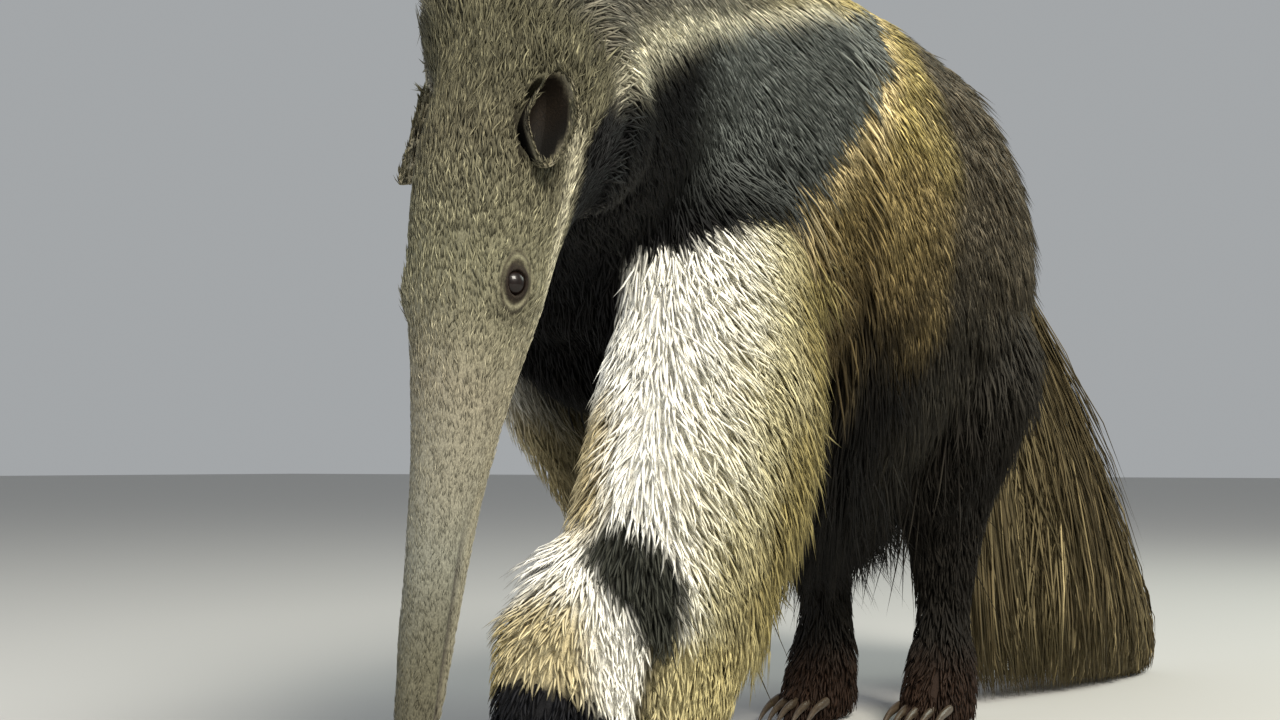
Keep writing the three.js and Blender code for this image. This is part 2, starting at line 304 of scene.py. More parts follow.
# The flesh solids become one shape, sunk by the coat's depth.
skin = bpy.data.meshes.new("skin")
with edited(skin) as shape:
    for name in flesh:
        if not name.startswith(("tail", "ear")):
            shape.from_mesh(nodes[name].data)
    bmesh.ops.remove_doubles(shape, verts=shape.verts, dist=1e-5)
    for place, radius in zip(*along_core(np.linspace(0, 1, 60))):
        bmesh.ops.create_icosphere(shape, subdivisions=2, radius=radius, matrix=Matrix.Translation(place))
skin = remeshed(skin, ROUGH_VOXEL, 0.6, 12)

weights = region_weights(skin, 30)
depth = weights @ np.array([SKIN_DEPTH[r.split("_")[0]] for r in REGIONS])
for hand in SIDES:
    depth -= WRIST_FILL * wrist_front(corners(skin) - SHIFT, hand) * weights[:, REGIONS.index("arm_" + hand)]
depth *= 1 - weights[:, REGIONS.index("tail")]
move_corners(skin, corners(skin) - normals(skin) * depth[:, None])
skin = remeshed(skin, SKIN_VOXEL, 0.5, 6)

# The head gets four times the detail along each edge.
with edited(skin) as shape:
    head_edges = []
    for edge in shape.edges:
        a, f, s = head_place(np.array((edge.verts[0].co + edge.verts[1].co) / 2))
        if a < HEAD_LENGTH and abs(s) < 0.075 and -0.075 < f < 0.07:
            head_edges.append(edge)
    bmesh.ops.subdivide_edges(shape, edges=head_edges, cuts=3, use_grid_fill=True)
    fine = [v for v in shape.verts if max((e.calc_length() for e in v.link_edges), default=1) < HEAD_EDGE]
    for _ in range(14):
        bmesh.ops.smooth_vert(shape, verts=fine, factor=0.5, use_axis_x=True, use_axis_y=True, use_axis_z=True)


# ---------------------------------------------------------------- eyes, ears and muzzle in the skin
EYE_OUT = {side: unit(HEAD_FRONT * 0.42 + LEFT * side * 0.9) for side in SIDES.values()}


def eye_place(side):
    from_tip, front, aside = EYE_AT
    return on_head(from_tip, front, side * aside) - EYE_OUT[side] * EYE_SUNK


def eye_measure(p, side):
    """How far out of the head, down it and across it places are from an eye's middle."""
    q = p - eye_place(side)
    return q @ EYE_OUT[side], q @ HEAD_DOWN, q @ np.cross(HEAD_DOWN, EYE_OUT[side])


def ear_place(side):
    from_tip, front, aside = EAR_AT
    return on_head(from_tip, front, side * aside)


def ear_turn(side):
    x, y, z = math.radians(6 * side), -HEAD_LEAN, math.radians(-20 * side)
    return np.array(Matrix.Rotation(x, 3, "X") @ Matrix.Rotation(y, 3, "Y") @ Matrix.Rotation(z, 3, "Z"))


def ear_measure(p, side):
    """How far ahead, outwards and up places are from an ear's middle, in the ear's own half sizes."""
    ahead, out, up = ((p - ear_place(side)) @ ear_turn(side) / EAR_REACH).T
    return ahead, out * side, up


def ear_rim(ahead):
    """How far outwards the ear's rim stands: most at the back."""
    return 0.40 - 0.45 * ahead


def ear_slit(ahead, up):
    """The fold of skin ahead of the ear's front rim, sunk and painted dark as the shadow in it."""
    return np.exp(-(((ahead - 1.17 - 0.30 * up) / 0.25) ** 4) - ((up + 0.42) / 0.60) ** 4)


def mouth_line(a, f, s):
    """1 along the closed mouth and the crease that goes on from it up the muzzle's sides."""
    line = bell(f, 0.02 * np.clip(a, 0, 0.13) - 0.0015, 0.0016)
    return line * (np.abs(s) > 0.004) * (1 - smooth(a, 0.10, 0.145))


def nostril(f, s, side):
    """How far places are from a slanting nostril's middle, where 1 is its rim."""
    up, across = f - NOSTRIL_AT[0], s - side * NOSTRIL_AT[1]
    return np.hypot(up / NOSTRIL_REACH[0], (across + side * 0.5 * up) / NOSTRIL_REACH[1])


def carve_eye(p, side):
    """The skin drawn over the ball as lids, with an opening and folds round it."""
    socket = 0.0068  # how far from its middle the ball shapes the skin
    height, u, v = eye_measure(p, side)
    reach = np.hypot(u, v)
    opening = np.hypot((u - 0.0006) / 0.0066, v / (0.0055 - 0.10 * u))
    ball = np.sqrt(np.maximum((EYE_RADIUS + 0.0009) ** 2 - np.minimum(reach, socket) ** 2, 0))
    lid = height + (np.maximum(ball, height) - height) * (1 - smooth(reach, socket, 0.027)) ** 1.3
    folds = 0.0007 * np.cos(opening * 6.0) * np.exp(-((opening - 2.3) ** 2) / 1.4)
    lid_edge = 0.0009 * np.exp(-((opening - 1.22) ** 2) / 0.05)
    lid = lid + folds + lid_edge
    lid = lid + (0.0008 - lid) * (1 - smooth(opening, 0.88, 1.04))
    near = (reach < 0.03) & (height > -0.012)
    p[near] += (EYE_OUT[side] * (lid - height)[:, None])[near]


def carve_ear(p, side):
    """The seat that an ear's cup sits in, and the slit ahead of it."""
    ahead, out, up = ear_measure(p, side)
    flat = np.hypot(ahead, up)
    pull = (1 - smooth(flat, 0.72, 0.98)) * (np.minimum(out, -1.35) - out) - 0.5 * ear_slit(ahead, up)
    near = (flat < 2.2) & (out > -2.5)
    p[near] += (ear_turn(side)[:, 1] * (side * pull * EAR_REACH[1])[:, None])[near]


def carve_muzzle(p, n):
    """The closed mouth, and the nostrils with their raised rims."""
    a, f, s = head_place(p)
    p -= n * (mouth_line(a, f, s) * (0.0026 - 0.0012 * smooth(a, 0.02, 0.10)))[:, None]
    for side in SIDES.values():
        reach = nostril(f, s, side)
        p -= HEAD_DOWN * (0.0045 * (1 - smooth(reach, 0.5, 1.1)) * (a < 0.02))[:, None]
        p += HEAD_DOWN * (0.0008 * np.exp(-((reach - 1.6) ** 2) / 0.12) * (a < 0.02))[:, None]


# Eyes, ear seats and muzzle get twice the detail of the rest of the head.
spots = [(eye_place(side), 0.016) for side in SIDES.values()]
spots += [(ear_place(side), 0.032) for side in SIDES.values()]
spots += [(MUZZLE_TIP, 0.020)]
with edited(skin) as shape:
    spot_edges = []
    for edge in shape.edges:
        middle = np.array((edge.verts[0].co + edge.verts[1].co) / 2)
        if any(np.linalg.norm(middle - place) < reach for place, reach in spots):
            spot_edges.append(edge)
    bmesh.ops.subdivide_edges(shape, edges=spot_edges, cuts=1, use_grid_fill=True)
places, outwards = corners(skin), normals(skin)
for side in SIDES.values():
    carve_eye(places, side)
    carve_ear(places, side)
carve_muzzle(places, outwards)
move_corners(skin, places)


def add_ear(shape, side):
    """A thin leaf-shaped cup, open outwards."""
    turn = Matrix(ear_turn(side).tolist())
    for corner in bmesh.ops.create_uvsphere(shape, u_segments=40, v_segments=28, radius=1)["verts"]:
        ahead, out, up = corner.co
        flat = min(math.hypot(ahead, up), 1)
        rim = ear_rim(ahead)
        if out * side > 0.02:
            out = rim - 1.65 * (1 - flat**4)  # the hollow
        else:
            out = min(rim, -math.sqrt(1 - flat * flat) * 1.05 + rim * flat**6)  # the back
        ahead *= 1 - 0.62 * max(-up - 0.1, 0) ** 1.2 - (0.45 if ahead > 0 else 0.10) * max(up, 0)
        local = Vector((ahead - EAR_SKEW * up, out * side, up * (1.12 if up < 0 else 1)))
        corner.co = Vector(ear_place(side)) + turn @ Vector([local[k] * EAR_REACH[k] for k in range(3)])


with edited(skin) as shape:
    ear_corners = len(shape.verts)
    for side in SIDES.values():
        add_ear(shape, side)
    ear_faces = [face for face in shape.faces if not 0 <= face.verts[0].index < ear_corners]
    bmesh.ops.recalc_face_normals(shape, faces=ear_faces)
shade_smooth(skin)
weights = region_weights(skin, 14)
is_ear = np.arange(len(skin.vertices)) >= ear_corners


# ---------------------------------------------------------------- markings
# The same markings, with the painted shade and sheen among them, colour the skin and every lock. The stripe's borders
# are heights over the animal's length.
STRIPE_TOP = (
    (-0.06, 0.0, 0.104, 0.216, 0.378, 0.488, 0.504, 0.517, 0.57),
    (0.68, 0.655, 0.629, 0.594, 0.542, 0.491, 0.468, 0.446, 0.30),
)
STRIPE_FOOT = (
    (-0.06, 0.009, 0.04, 0.131, 0.197, 0.306, 0.338, 0.37),
    (0.69, 0.6115, 0.578, 0.508, 0.442, 0.424, 0.416, 0.10),
)
FORELEG_TOP = ((0.15, 0.25, 0.31, 0.36), (0.418, 0.434, 0.420, 0.397))
# Heights, and how far aside the black of the chest reaches down a foreleg's inner face.
ARMPIT = ((0.31, 0.34, 0.38, 0.42), (0.0, 0.072, 0.086, 0.105))
# The dark band round the left wrist, as places and half widths.
WRIST_BAND = np.array(
    [
        (0.410, 0.062, 0.234, 0.014),
        (0.412, 0.093, 0.225, 0.022),
        (0.404, 0.124, 0.206, 0.026),
        (0.393, 0.142, 0.181, 0.025),
        (0.386, 0.143, 0.152, 0.016),
    ]
)
# The head's colour, by how far from the muzzle's tip.
HEAD_TONES = {
    0.0: "#4b473a",
    0.05: "#5f5c4c",
    0.11: "#7d7c6f",
    0.19: "#888270",
    0.26: "#75725c",
    0.32: "#585443",
    0.37: "#504d3c",
}
tone = dict(black="#0c0b0b", grizzled="#6f6b60", grizzled_rear="#55503f", silver="#9c9883")
tone |= dict(straw="#a8985f", gold="#82724a", dull_gold="#615336", flank_foot="#0d0b09", belly="#0c0a08")
tone |= dict(haunch="#514a3d", haunch_foot="#2b2822", thigh="#393630", shank="#211e1a", foot="#2c1f17")
# The stripe's lighter grey is painted sheen on its upper part; the stripe itself is black.
tone |= dict(cream="#cbb98c", border="#ddd7bd", stripe_front="#0d0d0e", stripe="#646864")
# The lid fold colour is painted shade in the creases of the wrinkles round each eye.
# The slit colour is painted shadow in the fold ahead of each ear.
tone |= dict(jaw="#948d78", cheek="#aca791", wrinkle_shade="#2b231b", lid="#1b110b", slit="#17120d")
# The nostril colour is painted shade inside the nostrils' openings.
tone |= dict(throat="#0e0e0f", lips="#3a3531", muzzle_tip="#2a2524", nostril="#0a0807")
# The ear's hollow is painted dark as the shade inside its cup, darkest towards its bottom.
tone |= dict(ear_back="#8a836d", ear_hollow="#1b130a", ear_hollow_shade="#0b0805")
# The wrist's yellowish colour is painted shade. The inner face's dark is its own, and it spreads further as painted
# shade on the right foreleg.
tone |= dict(white="#fffdf4", ivory="#d0c8a2", fringe="#928658", ochre_shade="#b5a062", inner_face_and_shade="#383118")
# Behind the hand the fringe's tan is painted in shade, with a painted shadow line along the hand's edge.
tone |= dict(hand_fringe_in_shade="#bdb07c", hand_edge_shadow="#3c3322", hand_front="#a8965a", band="#34352f", knuckles="#17171a")
tone |= dict(tail="#534933", tail_pale="#71664a")
tone = {name: linear(code) for name, code in tone.items()}


def trunk_marking(x, y, z, patchy, under_top):
    """Grey above the stripe, gold and then dark haunch behind it, black below."""
    grey = mix(tone["grizzled"], tone["grizzled_rear"], smooth(-x, -0.35, 0.1))
    grey = mix(grey, tone["silver"], bell(x, 0.20, 0.13) * 0.7)
    flank = mix(tone["straw"], tone["gold"], smooth(0.575 - z + patchy * 0.04, 0.0, 0.07))
    flank = mix(flank, tone["dull_gold"], smooth(0.50 - z + patchy * 0.06, 0.0, 0.12))
    foot = 0.435 - 0.05 * smooth(x, 0.02, 0.09)
    flank = mix(flank, tone["flank_foot"], smooth(foot - z + patchy * 0.05, 0.0, 0.08))
    haunch = mix(tone["haunch"], tone["haunch_foot"], smooth(0.52 - z, 0.0, 0.16))
    flank = mix(flank, haunch, smooth(-x + patchy * 0.05, 0.0, 0.11))
    flank = mix(flank, tone["black"], smooth(x, 0.15, 0.22))
    body = mix(flank, grey, smooth(-under_top, -0.01, 0.03))

    # The stripe, with cream under its rear, a lighter grey on its upper part that is painted sheen, and a white line
    # along its top.
    over_foot = z - (np.interp(x, *STRIPE_FOOT) + patchy * 0.006)
    cream = (1 - smooth(-over_foot, 0.0, 0.045)) * smooth(-over_foot, -0.02, 0.0)
    cream *= smooth(x, -0.10, 0.02) * (1 - smooth(x, 0.20, 0.25))
    body = mix(body, tone["cream"], cream * 0.9)
    stripe = smooth(under_top, -0.002, 0.006) * smooth(over_foot, -0.002, 0.006) * smooth(x, -0.052, -0.040)
    # Painted sheen: lighter grey over the stripe's upper part, behind its front.
    stripe_sheen = smooth(z + patchy * 0.02, 0.42, 0.52) * (1 - smooth(x + patchy * 0.02, 0.28, 0.37))
    body = mix(body, mix(tone["stripe_front"], tone["stripe"], stripe_sheen), stripe)
    border = bell(under_top, 0, 0.008 + 0.007 * smooth(x, 0.3, 0.46))
    border *= smooth(x, 0.0, 0.12) * (1 - smooth(x, 0.505, 0.53))
    body = mix(body, tone["border"], border)
    return mix(body, tone["belly"], smooth(0.34 - z + 0.3 * (0.10 - np.abs(y)), 0.0, 0.08))


def head_marking(p, patchy, under_top):
    """Grizzled grey-brown, with dark lids, lips and throat, a pale line down the cheek, and painted shade in the
    wrinkles round the eyes, in the slits ahead of the ears and in the nostrils.
    """
    a, f, s = head_place(p)
    along_head = np.clip(a + patchy * 0.02, 0, HEAD_LENGTH)
    tones = np.array([linear(code) for code in HEAD_TONES.values()])
    head = np.stack([np.interp(along_head, list(HEAD_TONES), tones[:, k]) for k in range(3)], 1)
    head = mix(head, tone["jaw"], smooth(-f, -0.001, 0.006) * (1 - smooth(a, 0.15, 0.30)) * 0.6)
    cheek = bell(f, 0.10 * (a - 0.30) - 0.022, 0.006) * smooth(a, 0.20, 0.25) * (1 - smooth(a, 0.33, 0.36))
    head = mix(head, tone["cheek"], cheek * 0.8)
    for side in SIDES.values():
        height, down, across = eye_measure(p, side)
        near = height > -0.01
        wrinkled = np.hypot(down / 0.0210, across / 0.0108)
        wavy = 0.5 * np.sin(3 * np.arctan2(across, down) + side)
        # Painted shade: darker rings in the creases of the wrinkles round the eye.
        folds = (0.5 + 0.5 * np.cos(wrinkled * 24 + wavy)) * (1 - smooth(wrinkled, 0.8, 1.2)) * near
        head = mix(head, tone["wrinkle_shade"], folds * 0.75)
        lids = np.hypot(down / 0.0118, across / 0.0084)
        head = mix(head, tone["lid"], (1 - smooth(lids, 0.75, 1.1)) * near * 0.95)
        ahead, out, up = ear_measure(p, side)
        # Painted shadow in the fold ahead of each ear.
        head = mix(head, tone["slit"], ear_slit(ahead, up) * (out > -2.5))
    throat = smooth(-f - 0.03 + 0.25 * (a - 0.30) + patchy * 0.006, 0.0, 0.012) * smooth(a, 0.21, 0.25)
    throat *= smooth(under_top + patchy * 0.01, -0.012, 0.006)
    head = mix(head, tone["throat"], throat)
    head = mix(head, tone["lips"], mouth_line(a, f, s) * 0.8)
    head = mix(head, tone["muzzle_tip"], 1 - smooth(a + patchy * 0.004, 0.012, 0.022))
    # Painted shade: the nostrils' openings nearly black.
    for side in SIDES.values():
        head = mix(head, tone["nostril"], (1 - smooth(nostril(f, s, side), 0.8, 1.2)) * (a < 0.012))
    return head


def foreleg_marking(x, y, z, patchy, hand, on_hand):
    """White ahead, a yellowish fringe behind, a darker inner face, a dark band at the wrist and dark knuckles, with
    painted shade: yellowish on the wrist, behind the hand and over the right foreleg.
    """
    side = SIDES[hand]
    behind = fore_ridge(z, hand) - x
    white = mix(tone["white"], tone["ivory"], smooth(behind + patchy * 0.03, 0.02, 0.08))
    white = mix(white, tone["fringe"], smooth(behind + patchy * 0.05, 0.06, 0.14))
    # On the right foreleg, which lies in the head's shade, inward is raised and the inner face's dark starts sooner:
    # painted shade.
    inward = np.interp(z, (0.1, 0.4), (0.075, 0.05)) + (0 if side > 0 else 0.045) - side * y
    # Painted shade, yellowish, on the wrist except its outer face.
    ochre_shade = smooth(inward, -0.045, -0.02) * smooth(0.33 - z, 0.0, 0.04) * smooth(z, 0.20, 0.235)
    white = mix(white, tone["ochre_shade"], ochre_shade * 0.8)
    white = mix(white, tone["inner_face_and_shade"], smooth(inward, 0.0 if side > 0 else -0.05, 0.03) * 0.9)
    white = mix(white, tone["black"], smooth(np.interp(z, *ARMPIT) - side * y, -0.003, 0.006))

    # From here on, the right foreleg's places are moved onto the left's.
    x = x - LEG_AHEAD[hand][0]
    places = np.stack([x, side * y + (0 if side > 0 else -0.008), z], 1)
    low = smooth(0.165 - z, 0.0, 0.02)
    # Painted shade on the fringe behind the hand, and a painted shadow line at the hand's edge.
    white = mix(white, tone["hand_fringe_in_shade"], smooth(0.386 - x, 0.0, 0.006) * low * 0.85)
    white = mix(white, tone["hand_edge_shadow"], bell(x, 0.380, 0.006) * low * (inward < 0) * 0.75)
    front_of_hand = smooth(0.218 - z, 0.0, 0.02) * smooth(inward, -0.048, -0.03)
    white = mix(white, tone["hand_front"], front_of_hand * smooth(x + patchy * 0.01, 0.400, 0.430) * 0.8)
    closest = np.full(len(x), 9.0)
    for at in np.linspace(0, 1, 17) * (len(WRIST_BAND) - 1):
        *middle, half = (np.interp(at, range(len(WRIST_BAND)), WRIST_BAND[:, k]) for k in range(4))
        closest = np.minimum(closest, np.linalg.norm(places - middle, axis=1) / half)
    white = mix(white, tone["band"], 1 - smooth(closest + patchy * 0.1, 0.85, 1.15))
    knuckles = smooth(0.142 - 0.75 * (0.455 - x) - z + patchy * 0.008, -0.003, 0.006) * smooth(x, 0.36, 0.38)
    return mix(white, tone["knuckles"], knuckles * smooth(on_hand, 0.2, 0.5))


def marking(p, w):
    """The coat's colour at places p of the part's frame, from the weights w of the regions there."""
    x, y, z = (p - SHIFT).T
    part = {r: w[:, i] for i, r in enumerate(REGIONS)}
    patchy = np.array([noise.noise(Vector(v) * 14) for v in p])
    under_top = np.interp(x, *STRIPE_TOP) + patchy * 0.006 - z

    colour = mix(trunk_marking(x, y, z, patchy, under_top), head_marking(p, patchy, under_top), part["head"])
    for hand in SIDES:
        on_leg = smooth(part["arm_" + hand] + part["hand_" + hand], 0.25, 0.6)
        under = 1 - smooth(z - np.interp(x, *FORELEG_TOP) + patchy * 0.012, -0.004, 0.006)
        colour = mix(colour, foreleg_marking(x, y, z, patchy, hand, part["hand_" + hand]), on_leg * under)
    hind = part["thigh_left"] + part["thigh_right"] + part["foot_left"] + part["foot_right"]
    dark = mix(tone["thigh"], tone["shank"], smooth(0.40 - z, 0.0, 0.12))
    dark = mix(dark, tone["foot"], smooth(0.10 - z, 0.0, 0.06))
    colour = mix(colour, dark, smooth(hind, 0.3, 0.8) * smooth(0.50 - z, 0.0, 0.08))
    tail = mix(tone["tail"], tone["tail_pale"], smooth(patchy, -0.2, 0.5))
    return mix(colour, tail, smooth(part["tail"], 0.3, 0.8))


def paint(mesh, name, colours):
    layer = mesh.color_attributes.new(name, "FLOAT_COLOR", "POINT")
    layer.data.foreach_set("color", np.c_[colours, np.ones(len(colours))].astype(np.float32).ravel())


skin_places, skin_normals = corners(skin), normals(skin)
skin_colour = marking(skin_places, weights)
ear_inside = np.zeros(len(skin_places))
for side in SIDES.values():
    ahead, out, up = ear_measure(skin_places, side)
    own = is_ear & (np.linalg.norm((ahead, out, up), axis=0) < 2.5)
    # Painted shade: the further inside the cup from its rim, the darker, and darker still towards its bottom.
    hollow = smooth(ear_rim(ahead) - out, 0.12, 0.55) * (out > -1.5)
    hollow *= np.hypot(ahead + EAR_SKEW * up, up) < 0.96
    ear_inside[own] = hollow[own]
    dark = mix(tone["ear_hollow"], tone["ear_hollow_shade"], smooth(-up, -0.5, 0.4))
    skin_colour[own] = mix(np.broadcast_to(tone["ear_back"], dark.shape), dark, hollow)[own]
paint(skin, "marking", skin_colour)


# ---------------------------------------------------------------- materials
def add(tree, kind, settings=(), **links):
    """A shader node with its settings and the sockets that feed it."""
    node = tree.nodes.new(kind)
    for key, value in dict(settings).items():
        if key in node.inputs and not hasattr(type(node), key):
            node.inputs[key].default_value = value
        else:
            setattr(node, key, value)
    for key, source in links.items():
        tree.links.new(source, node.inputs[int(key[1:])] if key[1:].isdigit() else node.inputs[key.replace("_", " ")])
    return node


def new_material(name):
    material = bpy.data.materials.new(name)
    material.use_nodes = True
    material.node_tree.nodes.clear()
    return material, material.node_tree


def noise_at(tree, place, scale, detail, roughness=0.5):
    settings = dict(Scale=scale, Detail=detail, Roughness=roughness)
    return add(tree, "ShaderNodeTexNoise", settings, Vector=place).outputs[0]


def ranged(tree, source, start, end, low, high):
    """A value whose range from start to end becomes low to high."""
    settings = {"From Min": start, "From Max": end, "To Min": low, "To Max": high}
    return add(tree, "ShaderNodeMapRange", settings, Value=source).outputs[0]


def two_tone(tree, source, first, second):
    """A colour that goes from one to another with a value."""
    node = add(tree, "ShaderNodeMix", dict(data_type="RGBA"), Factor=source)
    for k, code in ((6, first), (7, second)):
        node.inputs[k].default_value = (*linear(code), 1)
    return node.outputs[2]


def relief(tree, source, strength, distance):
    return add(tree, "ShaderNodeBump", dict(Strength=strength, Distance=distance), Height=source).outputs[0]


def marked(tree, scale):
    """The painted marking, made lighter and darker by a value."""
    colour = add(tree, "ShaderNodeAttribute", dict(attribute_name="marking"))
    shaded = dict(_0=colour.outputs["Color"], Scale=scale)
    return add(tree, "ShaderNodeVectorMath", dict(operation="SCALE"), **shaded).outputs[0]


def finish(tree, settings, **links):
    """The surface itself, and the output that shows it."""
    shader = add(tree, "ShaderNodeBsdfPrincipled", settings, **links)
    add(tree, "ShaderNodeOutputMaterial", Surface=shader.outputs[0])


def object_place(tree):
    return add(tree, "ShaderNodeTexCoord").outputs["Object"]


def stretched(tree, scale):
    """Places on the object, scaled by different amounts along its axes."""
    return add(tree, "ShaderNodeMapping", dict(Scale=scale), Vector=object_place(tree)).outputs[0]


# Skin with short flat hair: grizzled, matt, with hair-fine grain that runs along the head.
skin_material, tree = new_material("short_hair_on_skin")
along_hair = stretched(tree, (1, 1, 0.5))
grain = noise_at(tree, along_hair, 1300, 3, 0.65)
light = ranged(tree, grain, 0.3, 0.7, 0.55, 1.35)
flecks = ranged(tree, noise_at(tree, along_hair, 620, 2, 0.6), 0.33, 0.45, 0.7, 1.0)
both = add(tree, "ShaderNodeMath", dict(operation="MULTIPLY"), _0=light, _1=flecks).outputs[0]
matt = {"Roughness": 0.78, "IOR": 1.45, "Specular IOR Level": 0.25}
finish(tree, matt, Base_Color=marked(tree, both), Normal=relief(tree, grain, 0.55, 0.0012))

# Coarse hair in locks: each lock carries its colour, and fine strands run along it.
hair_material, tree = new_material("coarse_hair")
strands = noise_at(tree, add(tree, "ShaderNodeUVMap", dict(uv_map="strands")).outputs[0], 1, 2, 0.6)
light = ranged(tree, strands, 0.3, 0.7, 0.72, 1.22)
dry = {"Roughness": 0.58, "IOR": 1.55, "Specular IOR Level": 0.1}
finish(tree, dry, Base_Color=marked(tree, light), Normal=relief(tree, strands, 0.5, 0.0006))

# A wet eye: nearly black brown under a clear cornea.
eye_material, tree = new_material("wet_eye")
iris = two_tone(tree, noise_at(tree, object_place(tree), 400, 2), "#070403", "#180c07")
wet = {"Roughness": 0.35, "Specular IOR Level": 0.2, "Coat Weight": 0.3, "Coat Roughness": 0.07}
finish(tree, wet, Base_Color=iris)

# Claw horn, grown in layers: brown grey, worn, with streaks along it.
horn_material, tree = new_material("claw_horn")
streaks = noise_at(tree, stretched(tree, (0.3, 1, 1)), 420, 4)
layers = two_tone(tree, streaks, "#1f1812", "#5d5040")
worn = {"Roughness": 0.42, "IOR": 1.55}
finish(tree, worn, Base_Color=layers, Normal=relief(tree, streaks, 0.4, 0.0005))

shown("skin", skin, skin_material, flesh)


# ---------------------------------------------------------------- the coat
LOCK_CLEARANCE = 0.004  # how far over the floor most locks end
PATCH = 0.003  # the size of one lock's patch on the OFBake map
SIDE_SLACK = 0.008  # how far locks may reach past the solids' sides

ends = edge_ends(skin)
# Blender lists these triangles in another order each run. Sorted, they give each lock the same place each run.
tri = np.sort(triangles(skin), axis=1)
tri = tri[np.lexsort(tri.T)]
tri_area = areas(skin_places, tri)
part = {r: weights[:, i] for i, r in enumerate(REGIONS)}


def lie(p, n):
    """Which way the hair lies at each corner of the skin."""
    x, _, z = (p - SHIFT).T
    sideways = np.abs(n[:, 1:2])
    out = part["head"][:, None] * -HEAD_DOWN
    trunk = dict(neck=((-0.80, -0.30, -0.30), 0.35), chest=((-0.62, 0, -0.25), 0.75))
    trunk |= dict(flank=((-0.55, 0, -0.25), 0.85), rump=((-0.60, 0, -0.30), 0.80), tail=((-0.55, 0.1, -0.80), 0.0))
    for region, (way, fall) in trunk.items():
        out += part[region][:, None] * (np.array(way) + DOWN * fall * sideways)
    for hand, side in SIDES.items():
        turn = np.tanh((x - fore_ridge(z, hand)) / 0.02)
        way = np.stack([0.42 * turn - 0.08, -side * 0.30 * np.maximum(turn, 0), np.full(len(x), -0.9)], 1)
        out += part["arm_" + hand][:, None] * way
        for limb, ahead in dict(hand=0.12, thigh=-0.18, foot=0.45).items():
            out += part[f"{limb}_{hand}"][:, None] * np.array((ahead, 0, -1.0))
    out -= n * np.sum(out * n, axis=1, keepdims=True)
    return unit(spread(unit(out), ends, 24))


def bare_skin(p):
    """1 where no hair grows: round the eyes, in the ears, on the muzzle's tip and along the mouth."""
    a, f, s = head_place(p)
    bare = np.zeros(len(p))
    for side in SIDES.values():
        q = p - eye_place(side)
        down = q @ HEAD_DOWN
        reach = np.hypot(down / 0.0195, np.linalg.norm(q - down[:, None] * HEAD_DOWN, axis=1) / 0.0120)
        bare = np.maximum(bare, 1 - smooth(reach, 0.8, 1.1))
        ahead, out, up = ear_measure(p, side)
        bare = np.maximum(bare, ((np.hypot(ahead, up) < 1.0) | (ear_slit(ahead, up) > 0.4)) * (out > -3))
    is_head = part["head"] > 0.5
    bare = np.maximum(bare, (1 - smooth(a, 0.012, 0.019)) * is_head)
    bare = np.maximum(bare, np.clip(mouth_line(a, f, s) * 1.6, 0, 1) * is_head)
    bare[is_ear] = ear_inside[is_ear] > 0.02
    return bare


skin_lie = lie(skin_places, skin_normals)
bare = bare_skin(skin_places)


def roots(which, count):
    """Places on the skin, spread at random by area times which, with all that the skin knows there."""
    share = tri_area * (which * (1 - bare))[tri].mean(1)
    chosen = rng.choice(len(tri), count, p=share / share.sum())
    u, v = in_triangles(count)
    shares = np.stack([1 - u - v, u, v], 1)[:, :, None]
    at = {}
    for key, values in dict(place=skin_places, normal=skin_normals, lie=skin_lie, weights=weights).items():
        at[key] = (values[tri[chosen]] * shares).sum(1)
    at["normal"] = unit(at["normal"])
    at["lie"] = unit(at["lie"] - at["normal"] * np.sum(at["lie"] * at["normal"], 1, keepdims=True))
    return at


def unwrap(p):
    """Places of one coat piece laid flat: the angle round its length, and how far along it."""
    q = p - p.mean(0)
    along = np.linalg.svd(q, full_matrices=False)[2][0]
    one = unit(np.cross(along, (0.31, 0.17, 0.93)))
    two = np.cross(along, one)
    angle = np.arctan2(q @ two, q @ one) / (2 * np.pi) + 0.5
    length = q @ along
    length = (length - length.min()) / np.ptp(length)
    return np.stack([0.01 + 0.975 * angle, 0.01 + 0.975 * length], 1)


def bent_back(y):
    """Places across the body, where what reaches past the solids' sides bends back to near them."""
    low, high = solid_box[0][1], solid_box[1][1]
    past = y - np.clip(y, low, high)
    return y - past + SIDE_SLACK * np.tanh(past / SIDE_SLACK)


def lock_faces(inner):
    """The triangles of one closed lock: inner rings of three corners, and one corner at the tip."""
    faces = [(0, 2, 1)]
    for b in range(0, (inner - 1) * 3, 3):
        for i in range(3):
            j = (i + 1) % 3
            faces += [(b + i, b + j, b + 3 + j), (b + i, b + 3 + j, b + 3 + i)]
    b, last = (inner - 1) * 3, inner * 3
    return np.array(faces + [(b, b + 1, last), (b + 1, b + 2, last), (b + 2, b, last)])


